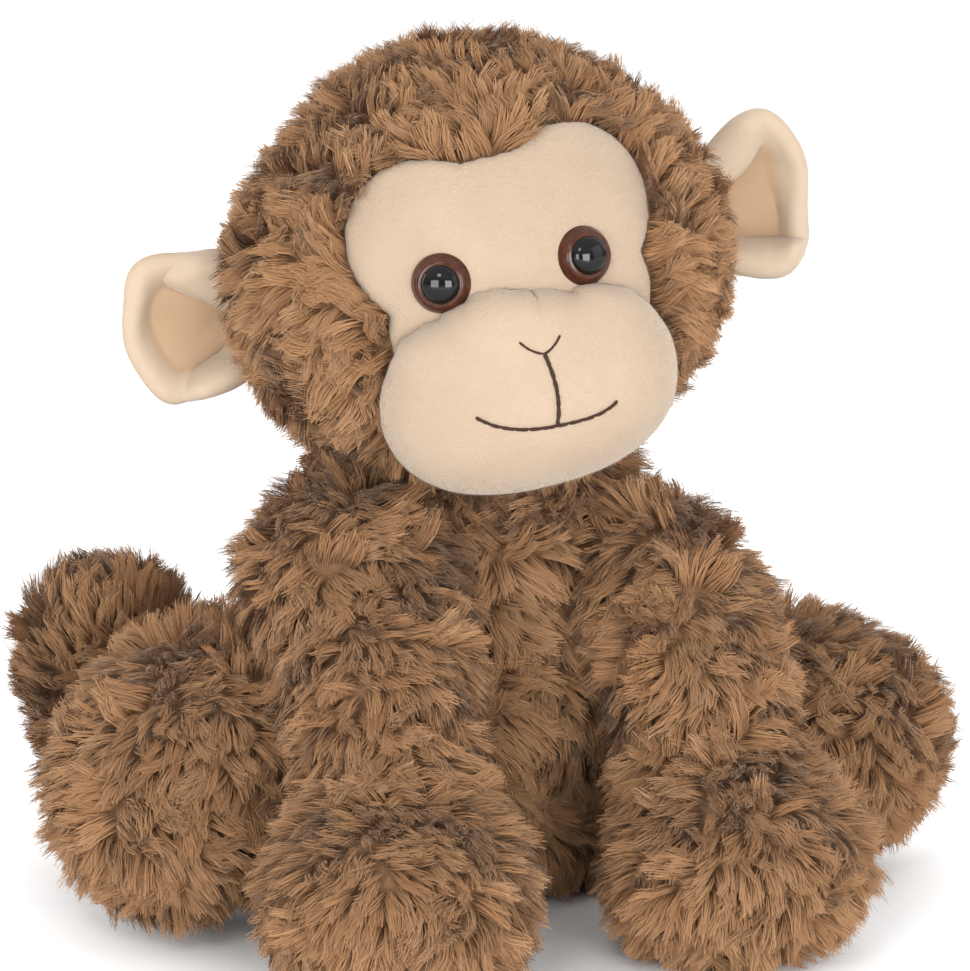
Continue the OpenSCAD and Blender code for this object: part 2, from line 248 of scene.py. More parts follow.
def make_materials():
    # The fur's colour follows its tone. The dark end, at the strands' roots, is painted shade deep in the
    # fur.
    fur = toned_material(
        "brown_fur",
        [(0.0, (0.170, 0.079, 0.034)), (0.35, (0.246, 0.124, 0.058)),
         (0.7, (0.288, 0.154, 0.075)), (1.0, (0.358, 0.210, 0.113))],
        {"Specular IOR Level": 0.15, "Sheen Weight": 0.15, "Sheen Roughness": 0.4,
         "Sheen Tint": (1.0, 0.85, 0.7, 1)},
    )
    nap = toned_material(
        "cream_nap",
        [(0.0, (0.30, 0.200, 0.120)), (0.5, (0.358, 0.274, 0.199)), (1.0, (0.405, 0.320, 0.243))],
        {"Specular IOR Level": 0.1, "Sheen Weight": 0.2, "Sheen Roughness": 0.5},
    )
    velour = noisy_material(
        "cream_velour", ((0.336, 0.253, 0.182), (0.360, 0.276, 0.202)), 55, 0.95,
        {"Specular IOR Level": 0.1, "Sheen Weight": 0.35, "Sheen Roughness": 0.45,
         "Sheen Tint": (1.0, 0.95, 0.88, 1)},
        0.00035, 1400,
    )
    # The ear's colour follows its tone: painted shade in the bowl, and painted light on the rolled lips and
    # towards the rim.
    shaded_ear = toned_material(
        "ear_velour",
        [(0.0, (0.355, 0.223, 0.126)), (0.5, (0.385, 0.284, 0.196)), (1.0, (0.42, 0.338, 0.256))],
        {"Specular IOR Level": 0.1, "Sheen Weight": 0.3, "Sheen Roughness": 0.45},
    )
    backing = noisy_material(
        "brown_backing", ((0.15, 0.075, 0.034), (0.20, 0.105, 0.050)), 500, 0.95, {}, 0.0003, 1800
    )
    iris = noisy_material(
        "eye_brown", ((0.030, 0.0085, 0.0045), (0.062, 0.019, 0.009)), 420, 0.12,
        {"IOR": 1.32},
    )
    pupil = noisy_material(
        "eye_black", ((0.0012, 0.0012, 0.0014), (0.002, 0.002, 0.0022)), 300, 0.06,
        {"IOR": 1.36},
    )
    thread = noisy_material(
        "dark_thread", ((0.022, 0.010, 0.006), (0.048, 0.023, 0.013)), 2500, 0.8,
        {"Specular IOR Level": 0.2}, 0.0001, 5000,
    )
    washer = noisy_material(
        "washer_plastic", ((0.70, 0.70, 0.68), (0.78, 0.78, 0.76)), 300, 0.4, {}, 0.00004, 1500
    )
    return dict(fur=fur, nap=nap, velour=velour, shaded_ear=shaded_ear, backing=backing, iris=iris,
                pupil=pupil, thread=thread, washer=washer)


# ---------------------------------------------------------------------------------- mesh helpers
def new_object(name, mesh):
    obj = bpy.data.objects.new(name, mesh)
    bpy.context.scene.collection.objects.link(obj)
    return obj


def coords(mesh):
    flat = np.empty(len(mesh.vertices) * 3, np.float32)
    mesh.vertices.foreach_get("co", flat)
    return flat.reshape(-1, 3).astype(float)


def set_coords(mesh, points):
    mesh.vertices.foreach_set("co", np.asarray(points, np.float32).ravel())
    mesh.update()


def vertex_normals(mesh):
    flat = np.empty(len(mesh.vertices) * 3, np.float32)
    mesh.vertex_normals.foreach_get("vector", flat)
    return flat.reshape(-1, 3).astype(float)


def apply_modifiers(obj):
    evaluated = obj.evaluated_get(bpy.context.evaluated_depsgraph_get())
    mesh = bpy.data.meshes.new_from_object(evaluated)
    obj.modifiers.clear()
    old = obj.data
    obj.data = mesh
    bpy.data.meshes.remove(old)


def modify(obj, kind, **settings):
    """Adds one modifier with these settings, and applies it."""
    modifier = obj.modifiers.new(kind.lower(), kind)
    for key, value in settings.items():
        setattr(modifier, key, value)
    apply_modifiers(obj)


def keep_largest(obj):
    """Drops every island of the mesh but the one with the most points."""
    bm = bmesh.new()
    bm.from_mesh(obj.data)
    left, best = set(bm.verts), set()
    while left:
        first = left.pop()
        island, edge = {first}, [first]
        while edge:
            for link in edge.pop().link_edges:
                for vert in link.verts:
                    if vert in left:
                        left.remove(vert)
                        island.add(vert)
                        edge.append(vert)
        if len(island) > len(best):
            best = island
    bmesh.ops.delete(bm, geom=[v for v in bm.verts if v not in best], context="VERTS")
    bm.to_mesh(obj.data)
    bm.free()


def copy_node(node, name, voxel):
    """A new closed mesh of even faces, in the shape of a CAD node."""
    obj = new_object(name, NODES[node].data.copy())
    obj.data.materials.clear()
    modify(obj, "REMESH", mode="VOXEL", voxel_size=voxel)
    keep_largest(obj)
    return obj


def smooth(obj, rounds, factor=0.5):
    modify(obj, "SMOOTH", iterations=rounds, factor=factor)


def offset(obj, distance):
    """Moves every point along its normal. Distance is one number, or one for each point."""
    points, normals = coords(obj.data), vertex_normals(obj.data)
    set_coords(obj.data, points + normals * np.reshape(distance, (-1, 1)))


def shade(obj, material):
    obj.data.materials.clear()
    obj.data.materials.append(material)
    obj.data.polygons.foreach_set("use_smooth", [True] * len(obj.data.polygons))


PUFF_FRAMES = 20


def puff(obj, pressure, cap):
    """Blows the closed shell up as cloth. No point ends further than cap from where it started."""
    rest = coords(obj.data)
    cloth = obj.modifiers.new("cloth", "CLOTH").settings
    cloth.use_pressure = True
    cloth.uniform_pressure_force = pressure
    cloth.effector_weights.gravity = 0
    cloth.quality = 5
    scene = bpy.context.scene
    for number in range(1, PUFF_FRAMES + 1):
        scene.frame_set(number)
    apply_modifiers(obj)
    scene.frame_set(1)
    move = coords(obj.data) - rest
    length = np.linalg.norm(move, axis=1, keepdims=True)
    set_coords(obj.data, rest + move * np.minimum(1, cap / np.maximum(length, 1e-9)))


# ---------------------------------------------------------------------------------- fur
# Fur grows in locks, a lock holds tufts, and a tuft holds strands. Lengths are in metres, angles in degrees.
FUR = dict(
    lock=4.8 * MM,       # from one lock to the next
    tuft=1.9 * MM,       # from one tuft to the next
    strands=15,          # in a tuft
    length=10 * MM,
    width=0.26 * MM,     # of a strand
    root_lean=14,        # how far a lock leans from upright at its root
    tip_lean=68,         # and at its tip
    lean_spread=9,
    turn=34,             # how far a lock turns aside on its way
    tousle=0.75,         # how much the swirls change the way that locks lie
    swirl=24 * MM,       # across one swirl
    gather=0.30,         # how far the tips of a lock's tufts meet
    bundle=0.15,         # how far the tips of a tuft's strands meet
    spread=1.35 * MM,    # a tuft's radius at its root
    frizz=0.22 * MM,
)
SCATTER = 1.4e6  # points a square metre, which locks and tufts are picked from
RINGS = 3  # pairs of points along a strand, after its root
STRAND_TRIS = 2 * (RINGS - 1) + 1
PIECE_TRIS = 190000
FINE = 12  # steps that a tuft's curve is worked out in
SUNK = 0.6 * MM  # how far a strand's root is under the hide
# A strand is dark at its root, which is painted shade between the strands, and lighter towards its tip.
ROOT_TONE = 0.34
TIP_TONE = 0.76
BOX_SHARE = 0.028  # fur may pass the CAD's box by this share of each side
BOX_SLACK = 9 * MM  # and this
FLOOR_GAP = 0.4 * MM


def unit(vectors):
    return vectors / np.maximum(np.linalg.norm(vectors, axis=-1, keepdims=True), 1e-9)


def tangent(vectors, normals):
    """The part of each vector that lies along the surface, at length 1."""
    return unit(vectors - normals * np.sum(vectors * normals, axis=-1, keepdims=True))


def scatter(obj, count_per_m2, rng):
    """Random points and normals, spread evenly over a mesh."""
    mesh = obj.data
    mesh.calc_loop_triangles()
    corners = np.empty(len(mesh.loop_triangles) * 3, np.int32)
    mesh.loop_triangles.foreach_get("vertices", corners)
    corners = corners.reshape(-1, 3)
    points, normals = coords(mesh), vertex_normals(mesh)
    a, b, c = (points[corners[:, i]] for i in range(3))
    area = np.linalg.norm(np.cross(b - a, c - a), axis=1) / 2
    count = int(area.sum() * count_per_m2)
    pick = rng.choice(len(area), count, p=area / area.sum())
    s, t = rng.random(count), rng.random(count)
    flip = s + t > 1
    s[flip], t[flip] = 1 - s[flip], 1 - t[flip]
    weights = np.stack([1 - s - t, s, t], axis=1)[:, :, None]
    chosen = corners[pick]
    return (points[chosen] * weights).sum(1), unit((normals[chosen] * weights).sum(1))


def thin(points, cell, rng):
    """The places in the list of one random point for each cell of a grid."""
    order = rng.permutation(len(points))
    cells = np.floor(points[order] / cell).astype(np.int64)
    _, first = np.unique(cells, axis=0, return_index=True)
    return order[first]


def nearest(points, centres):
    tree = KDTree(len(centres))
    for i, centre in enumerate(centres):
        tree.insert(centre, i)
    tree.balance()
    return np.array([tree.find(point)[1] for point in points])


def swirl_field(points, wavelength, rng, waves=9):
    """A smooth made-up wind, that changes over about one wavelength."""
    total = np.zeros_like(points)
    for _ in range(waves):
        wave = rng.normal(size=3)
        wave *= 2 * math.pi / wavelength / np.linalg.norm(wave) * rng.uniform(0.6, 1.4)
        total += rng.normal(size=3) * np.sin(points @ wave + rng.uniform(0, 2 * math.pi))[:, None]
    return total / 2


def tuft_curves(roots, normals, locks, lock_roots, lock_normals, comb, pile, rng):
    """The line of each tuft from its root to its tip, and how light each tuft is.

    A lock has its own way to lie, lean, turn and length, and each of its tufts strays a little from them.
    """
    count = len(lock_roots)
    flow = comb(lock_roots) + pile["tousle"] * swirl_field(lock_roots, pile["swirl"], rng)
    flow = tangent(flow + 0.35 * rng.normal(size=(count, 3)), lock_normals)
    spread = pile["lean_spread"]
    root_lean = rng.normal(pile["root_lean"], spread * 0.6, count)
    tip_lean = rng.normal(pile["tip_lean"], spread, count)
    turn = rng.normal(0, pile["turn"], count)
    length = pile["length"] * rng.uniform(0.82, 1.18, count)
    many = len(roots)
    flow = tangent(flow[locks] + 0.14 * rng.normal(size=(many, 3)), normals)
    side = np.cross(normals, flow)
    root_lean = root_lean[locks] + rng.normal(0, 6, many)
    tip_lean = tip_lean[locks] + rng.normal(0, 8, many)
    turn = turn[locks] + rng.normal(0, 14, many)
    length = length[locks] * rng.uniform(0.88, 1.1, many)
    away = roots - lock_roots[locks]
    away -= normals * np.sum(away * normals, axis=1, keepdims=True)
    place, line = np.zeros((many, 3)), []
    for step in range(FINE + 1):
        t = step / FINE
        gather = pile["gather"] * t ** 1.4
        line.append(roots + place - away * gather)
        lean = np.radians(root_lean + (tip_lean - root_lean) * t)[:, None]
        bend = np.radians(turn * t)[:, None]
        along = flow * np.cos(bend) + side * np.sin(bend)
        place = place + (normals * np.cos(lean) + along * np.sin(lean)) * (length / FINE)[:, None]
    shades = rng.normal(0, 0.075, count)[locks] + rng.normal(0, 0.03, many)
    return np.stack(line, axis=1), shades


def strand_lines(lines, normals, shades, pile, rng):
    """Strands round each tuft's line: points (n, RINGS + 1, 3), normals (n, 3) and tones (n, RINGS + 1)."""
    copies = pile["strands"]
    places = np.linspace(0, FINE, RINGS + 1).round().astype(int)
    t = places / FINE
    base = np.repeat(lines[:, places], copies, axis=0)
    normals = np.repeat(normals, copies, axis=0)
    count = len(base)
    off = tangent(rng.normal(size=(count, 3)), normals)
    off *= (pile["spread"] * np.sqrt(rng.random(count)))[:, None]
    size = rng.uniform(0.78, 1.06, count)[:, None, None]
    line = base[:, :1] + (base - base[:, :1]) * size
    line = line + off[:, None] * (1 - pile["bundle"] * t)[None, :, None]
    line = line + rng.normal(size=(count, RINGS + 1, 3)) * pile["frizz"] * t[None, :, None]
    line = line - normals[:, None] * SUNK * (t == 0)[None, :, None]
    # Darker towards the root: painted shade deep in the fur.
    tone = ROOT_TONE + (TIP_TONE - ROOT_TONE) * t[None] ** 0.9
    tone = tone + np.repeat(shades, copies)[:, None] + rng.normal(0, 0.055, (count, 1))
    return line, normals, np.clip(tone, 0, 1)


def stay_inside(line):
    """Keeps fur off the floor and near the CAD's own box."""
    low, high = (np.array(corner) for corner in CAD_BOX)
    margin = BOX_SHARE * (high - low) + BOX_SLACK
    low = low - margin
    low[2] = FLOOR_GAP
    return np.clip(line, low, high + margin)


def ribbon_mesh(name, line, normals, tone, width, rng, flatness=0.9):
    """Thin ribbons with a point at the root and a blunt tip, each with its own cell of the bake layer."""
    count, points = line.shape[:2]
    along = unit(np.gradient(line, axis=1))
    up = normals[:, None] + 0 * along
    face = tangent(up + 0.12 * rng.normal(size=(count, 1, 3)), along)
    roll = rng.uniform(-0.65, 0.65, (count, 1, 1))
    across = np.cross(along, face)
    across = across * np.cos(roll) + face * np.sin(roll)
    t = np.linspace(0, 1, points)
    half = (width * rng.uniform(0.65, 1.15, (count, 1)) * (1 - 0.5 * t * t)[None] / 2)[:, :, None]
    shown = unit(flatness * face + (1 - flatness) * up)
    left, right = line - across * half, line + across * half
    per = 2 * (points - 1) + 1
    co = np.empty((count, per, 3), np.float32)
    no = np.empty((count, per, 3), np.float32)
    to = np.empty((count, per), np.float32)
    uv = np.empty((per, 2), np.float32)
    co[:, 0], no[:, 0], to[:, 0], uv[0] = line[:, 0], shown[:, 0], tone[:, 0], (0.5, 0)
    tris = [(0, 2, 1)]
    for i in range(1, points):
        a = 2 * i - 1
        co[:, a], co[:, a + 1] = left[:, i], right[:, i]
        no[:, a] = no[:, a + 1] = shown[:, i]
        to[:, a] = to[:, a + 1] = tone[:, i]
        uv[a], uv[a + 1] = (0.2, t[i]), (0.8, t[i])
        if i < points - 1:
            tris += [(a, a + 1, a + 2), (a + 1, a + 3, a + 2)]
    tris = np.array(tris, np.int32)
    loops = (np.arange(count, dtype=np.int32)[:, None, None] * per + tris[None]).ravel()
    mesh = bpy.data.meshes.new(name)
    mesh.vertices.add(count * per)
    mesh.vertices.foreach_set("co", co.ravel())
    mesh.loops.add(len(loops))
    mesh.loops.foreach_set("vertex_index", loops)
    mesh.polygons.add(len(loops) // 3)
    mesh.polygons.foreach_set("loop_start", np.arange(0, len(loops), 3, dtype=np.int32))
    mesh.update(calc_edges=True)
    mesh.attributes.new("tone", "FLOAT", "POINT").data.foreach_set("value", to.ravel())
    mesh.attributes.new("custom_normal", "FLOAT_VECTOR", "POINT").data.foreach_set("vector", no.ravel())
    cells = math.ceil(math.sqrt(count))
    number = np.arange(count)
    corner = np.stack([number % cells, number // cells], axis=1)
    spots = (corner[:, None] + 0.15 + 0.7 * uv[None]) / cells
    layer = mesh.uv_layers.new(name="OFBake")
    layer.uv.foreach_set("vector", spots.reshape(-1, 2)[loops].astype(np.float32).ravel())
    return mesh


def grow(name, body, hide, comb, pile, rng, allowed=None):
    """Covers a hide with fur, in pieces that ride on the hide's body."""
    points, normals = scatter(hide, SCATTER, rng)
    if allowed is not None:
        keep = allowed(points, normals)
        points, normals = points[keep], normals[keep]
    locks = thin(points, pile["lock"], rng)
    tufts = thin(points, pile["tuft"], rng)
    home = nearest(points[tufts], points[locks])
    lines, shades = tuft_curves(
        points[tufts], normals[tufts], home, points[locks], normals[locks], comb, pile, rng
    )
    line, up, tone = strand_lines(lines, normals[tufts], shades, pile, rng)
    line = stay_inside(line)
    order = rng.permutation(len(line))
    share = PIECE_TRIS // STRAND_TRIS
    parts = math.ceil(len(line) / share)
    for i, some in enumerate(np.array_split(order, parts)):
        mesh = ribbon_mesh(f"{name}_{i + 1}", line[some], up[some], tone[some], pile["width"], rng)
        mesh.materials.append(MATERIALS["fur"])
        fur = new_object(f"{name}_{i + 1}", mesh)
        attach(fur, body)


# ---------------------------------------------------------------------------------- furry parts
def to_head(points):
    matrix = np.array(TO_HEAD)
    return points @ matrix[:3, :3].T + matrix[:3, 3]


def ease(values, low, high):
    """0 below low, 1 above high, and a smooth step between."""
    t = np.clip((values - low) / (high - low), 0, 1)
    return t * t * (3 - 2 * t)


def make_hide(body, node, inset, voxel=4.5 * MM, also=()):
    """The stuffed fabric under the fur, blown up by cloth simulation. A negative inset stands out."""
    hide = copy_node(node, f"{body}_hide", voxel)
    offset(hide, -inset)
    puff(hide, 4.0, 2.5 * MM)
    smooth(hide, 4)
    modify(hide, "SUBSURF", levels=1)
    shade(hide, MATERIALS["backing"])
    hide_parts(node, *also)
    return hide


def finish_hide(hide, body):
    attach(hide, body)


def widen_cheeks(hide, amount):
    """Makes the head wider than a ball, from its cheeks to its temples."""
    points = to_head(coords(hide.data))
    side = ease(np.abs(points[:, 0]), 22 * MM, 52 * MM)
    height = 1 - ease(np.abs(points[:, 2] + 4 * MM), 12 * MM, 50 * MM)
    offset(hide, amount * side * height)


def swell(hide, centre, reach, amount):
    """Stuffs the hide out by up to amount, or draws it in if that is negative, within reach of a point."""
    distance = np.linalg.norm(coords(hide.data) - np.array(centre), axis=1)
    offset(hide, amount * (1 - ease(distance, 0.25 * reach, reach)))


FACE_DEPTH = 22 * MM  # nothing of the face is further back than this


def clear_of(objects, reach):
    """A test for points that have nothing of these objects above them within reach."""
    depsgraph = bpy.context.evaluated_depsgraph_get()
    trees = [BVHTree.FromObject(obj, depsgraph) for obj in objects]

    def allowed(points, normals):
        keep = np.ones(len(points), bool)
        front = to_head(points)[:, 1] < FACE_DEPTH
        for i in np.nonzero(front)[0]:
            start, ray = Vector(points[i]), Vector(normals[i])
            keep[i] = not any(tree.ray_cast(start - ray * 2 * MM, ray, reach)[0] for tree in trees)
        return keep

    return allowed


def head_comb(points):
    """Fur on the head lies back and down, and away from the face beside it."""
    local = to_head(points)
    face = np.stack([local[:, 0], 0 * local[:, 0], local[:, 2] + 8 * MM], axis=1)
    outward = unit(face) @ np.array([HEAD_SIDE, HEAD_BACK, HEAD_UP])
    near_face = 1 - ease(local[:, 1:2], -35 * MM, 0)
    aside = np.array(HEAD_SIDE) * np.sign(local[:, :1]) * 0.25
    back = np.array(HEAD_BACK) * 0.35
    down = -np.array(HEAD_UP) * 0.5 * (1 - near_face)
    return aside + back + down + 1.3 * outward * near_face


def steady(x, y, z):
    """Fur that lies one way all over."""
    def comb(points):
        return np.tile(np.array((x, y, z), float), (len(points), 1))
    return comb


def towards(tip):
    """Fur that lies towards one point."""
    def comb(points):
        return unit(np.array(tip) - points)
    return comb


def radiate(centre, drift):
    """Fur that fans out from one point."""
    def comb(points):
        return unit(points - np.array(centre)) + np.array(drift)
    return comb


def make_torso(rng):
    """The torso, which is fuller at its shoulders. Its belly is drawn in at the foot, between the paws."""
    torso = make_hide("torso", "torso_filling", 0.5 * MM, also=("torso_skin", "pellet_bag", "seat_pellets"))
    low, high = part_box("torso_filling")
    swell(torso, (-0.01, 0, high.z - 10 * MM), 66 * MM, 9 * MM)
    swell(torso, (0.012, low.y + 4 * MM, 0.018), 58 * MM, -20 * MM)
    finish_hide(torso, "torso")
    pile = {**FUR, "length": 12.5 * MM, "tip_lean": 60, "turn": 55, "tousle": 0.7, "swirl": 18 * MM}
    grow("torso_fur", "torso", torso, steady(0, -0.15, -1.0), pile, rng)


def make_neck(rng):
    """The stuffing between head and torso, which shows under the chin."""
    neck = make_hide("neck", "neck_filling", 0.5 * MM, 3 * MM)
    finish_hide(neck, "neck")
    grow("neck_fur", "neck", neck, steady(0, -0.3, -1.0), FUR, rng)


def make_arm(side, sign, rng):
    """An arm that narrows at its wrist. Its fur hangs down, and fans out over its paw."""
    arm = make_hide(f"{side}_arm", f"{side}_arm_filling", -2.0 * MM, also=(f"{side}_arm_skin",))
    low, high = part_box(f"{side}_arm_filling")
    middle = (low.x + high.x) / 2
    shoulder = 11 * MM if side == "right" else -2 * MM  # the left one slopes more
    swell(arm, (sign * 0.060, high.y - 6 * MM, high.z), 42 * MM, shoulder)
    swell(arm, (middle, low.y + 36 * MM, 55 * MM), 34 * MM, -4 * MM)  # the wrist
    swell(arm, (middle, low.y + 20 * MM, 20 * MM), 52 * MM, 1.5 * MM)  # the paw
    finish_hide(arm, f"{side}_arm")
    hang = steady(0, -0.2, -1.0)
    fan = radiate((middle, low.y + 22 * MM, 52 * MM), (0, 0, -0.4))

    def arm_comb(points):
        on_paw = (1 - ease(points[:, 2], 44 * MM, 60 * MM))[:, None]
        return hang(points) * (1 - on_paw) + fan(points) * on_paw

    pile = {**FUR, "length": 11 * MM, "tousle": 0.45, "swirl": 18 * MM}
    grow(f"{side}_arm_fur", f"{side}_arm", arm, arm_comb, pile, rng)


def make_leg(side, sign, rng):
    """A short thick leg. Its fur fans out from the top of its foot."""
    leg = make_hide(f"{side}_leg", f"{side}_leg_filling", 0.5 * MM, also=(f"{side}_leg_skin",))
    low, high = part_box(f"{side}_leg_filling")
    middle = (low.y + high.y) / 2
    thigh = 12 * MM if side == "right" else 3 * MM  # the right one is fuller
    swell(leg, (sign * 0.074, middle, high.z + 4 * MM), 46 * MM, thigh)
    finish_hide(leg, f"{side}_leg")
    fan = radiate((sign * 0.085, middle, high.z), (0, 0, -0.3))
    grow(f"{side}_leg_fur", f"{side}_leg", leg, fan, {**FUR, "length": 11 * MM, "tousle": 0.7}, rng)


def make_tail(rng):
    """The tail, with fur that lies towards its raised tip."""
    tail = make_hide("tail", "tail_filling", -2.0 * MM, also=("tail_skin",))
    finish_hide(tail, "tail")
    low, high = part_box("tail_filling")
    tip = (low.x + 10 * MM, 0.05, high.z + 20 * MM)
    grow("tail_fur", "tail", tail, towards(tip), {**FUR, "length": 11.5 * MM, "tousle": 0.7}, rng)


def make_body():
    trunk_rng = np.random.default_rng(SEED + 1)
    make_torso(trunk_rng)
    make_neck(trunk_rng)
    for side, sign in (("right", -1), ("left", 1)):
        limb_rng = np.random.default_rng(SEED + 20 + sign)
        make_arm(side, sign, limb_rng)
        make_leg(side, sign, limb_rng)
    make_tail(np.random.default_rng(SEED + 40))


# ---------------------------------------------------------------------------------- face and ears
def nap(obj, name, body, density, length, rng):
    """A short velour nap: one thin triangle for each fibre."""
    points, normals = scatter(obj, density, rng)
    count = len(points)
    lean = tangent(swirl_field(points, 40 * MM, rng) + 0.8 * rng.normal(size=(count, 3)), normals)
    tip = points + unit(normals + 0.75 * lean) * (length * rng.uniform(0.6, 1.2, (count, 1)))
    line = np.stack([points - normals * 0.1 * MM, tip], axis=1)
    # Each fibre is a touch darker at its root, which is painted shade. On the ears the nap also takes the
    # ear's painted shade and light.
    tone = rng.normal(0.55, 0.09, (count, 1)) + np.array([[-0.06, 0.08]])
    if "tone" in obj.data.attributes:
        under = np.empty(len(obj.data.vertices), np.float32)
        obj.data.attributes["tone"].data.foreach_get("value", under)
        tone += under[nearest(points, coords(obj.data))][:, None] - 0.75
    tone = np.clip(tone, 0, 1)
    mesh = ribbon_mesh(name, line, normals, tone, 0.12 * MM, rng, 0.08)
    mesh.materials.append(MATERIALS["nap"])
    fuzz = new_object(name, mesh)
    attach(fuzz, body)


NAP_DENSITY = 4e6  # fibres a square metre on the face
NAP_LENGTH = 0.45 * MM
# Where the top of the muzzle is stuffed fuller, in millimetres: how far across, its reach, and how much.
MUZZLE_LOBES = ((-19, 25, 4.5), (-4, 20, 5.5), (8, 22, 2.6), (24, 18, 2.5))


def make_face():
    """The brow patch, the stuffed muzzle, and their nap."""
    patch = copy_node("brow_patch", "brow_velour", 1.0 * MM)
    smooth(patch, 12)
    offset(patch, 1.2 * MM)
    modify(patch, "SUBSURF", levels=1)
    muzzle = copy_node("muzzle_filling", "muzzle_velour", 2.2 * MM)
    smooth(muzzle, 12)
    offset(muzzle, 3.0 * MM)
    for across, reach, amount in MUZZLE_LOBES:
        swell(muzzle, HEAD @ Vector((across * MM, -55 * MM, -2 * MM)), reach * MM, amount * MM)
    puff(muzzle, 3.0, 1.0 * MM)
    smooth(muzzle, 4)
    modify(muzzle, "SUBSURF", levels=1)
    for obj, nodes in ((patch, ("brow_patch",)), (muzzle, ("muzzle_skin", "muzzle_filling"))):
        shade(obj, MATERIALS["velour"])
        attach(obj, "head")
        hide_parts(*nodes)
    rng = np.random.default_rng(SEED + 60)
    nap(patch, "brow_nap", "head", NAP_DENSITY, NAP_LENGTH, rng)
    nap(muzzle, "muzzle_nap", "head", NAP_DENSITY, NAP_LENGTH, rng)
    return patch, muzzle


def smooth_line(points, step):
    """Points a step apart along a smooth curve through the given ones."""
    points = [Vector((*p, 0)) for p in points]
    ends = [points[0] * 2 - points[1], *points, points[-1] * 2 - points[-2]]
    dense = []
    for a, b, c, d in zip(ends, ends[1:], ends[2:], ends[3:]):
        for k in range(24):
            t = k / 24
            dense.append(0.5 * ((2 * b) + (c - a) * t + (2 * a - 5 * b + 4 * c - d) * t * t
                                + (3 * b - a - 3 * c + d) * t * t * t))
    dense.append(points[-1])
    line, left = [dense[0]], step
    for a, b in zip(dense, dense[1:]):
        span = (b - a).length
        while span >= left:
            a = a + (b - a) * (left / span)
            line.append(a.copy())
            span = (b - a).length
            left = step
        left -= span
    return line


# Each ear, in millimetres out from its root and up from its middle: its outline, and the two creases that its
# rolled top and bottom rise from. A crease is its start at the root, and its end.
EAR_ROOT = 62  # from the head's middle out to the ear's root
EAR_OUTLINES = {
    "right": [(-3, 9), (0, 15.5), (8, 20), (17, 21.5), (25, 17.5), (29.7, 8), (29.9, -2),
              (27.3, -10.5), (22.5, -16), (15, -19), (8, -18), (0, -12), (-3, -5)],
    "left": [(-3, 6), (0, 10.5), (6, 14), (12.5, 16.5), (19.5, 18), (25.5, 17), (29.5, 12), (31.3, 3.5),
             (30.5, -9), (27, -19), (21.5, -24), (15.5, -24), (9, -21), (0, -15), (-3, -7)],
}
EAR_CREASES = {
    "right": (((3.0, 3.5), (17.0, 14.0)), ((8.5, -9.0), (18.0, -16.5))),
    "left": (((12.5, 4.0), (24.0, 15.5)), ((15.0, -14.5), (28.5, -17.0))),
}
EAR_MIDDLE = (12, -1)
EAR_LIP = 7.5 * MM  # how far a rolled lip stands forward
EAR_RIM = 3.0 * MM  # how far the rim does
EAR_BAND = 0.45  # how wide the rim is, as a share of the way in
EAR_BOWL = 4.5 * MM
EAR_PLEAT = 0.8 * MM


def half_round(x):
    """The height of a half circle over 0 to 1, with a top of 1."""
    x = min(max(x, 0.0), 1.0)
    return 2 * math.sqrt(x * (1 - x))


def ear_depth(spot, rim, r, creases):
    """How far the ear's face lies back at a spot, and how much of that spot is on a lip or the rim."""
    inward = (1 - r) / EAR_BAND
    forward = EAR_RIM * (1 - float(ease(inward, 0.3, 1.0))) * math.sqrt(min(1, inward / 0.3))
    for lip_side, (start, end) in zip((1, -1), creases):
        start, end = Vector(start), Vector(end)
        along = (end - start).normalized()
        beside = lip_side * (along.x * (spot.y - start.y) - along.y * (spot.x - start.x))
        if beside > 0:
            edge = (1 - r) * (rim - Vector(EAR_MIDDLE)).length
            fade = 1 - float(ease((spot - start).dot(along) / (end - start).length, 0.7, 1.25))
            forward = max(forward, EAR_LIP * half_round(beside / (beside + edge)) * fade)
    fan = math.atan2(spot.y, spot.x + 6)
    pleat = EAR_PLEAT * math.sin(9 * fan + 1) * math.sin(math.pi * r)
    return EAR_BOWL * (1 - r * r) + pleat - forward, float(ease(forward, 0.4 * MM, 2.4 * MM))


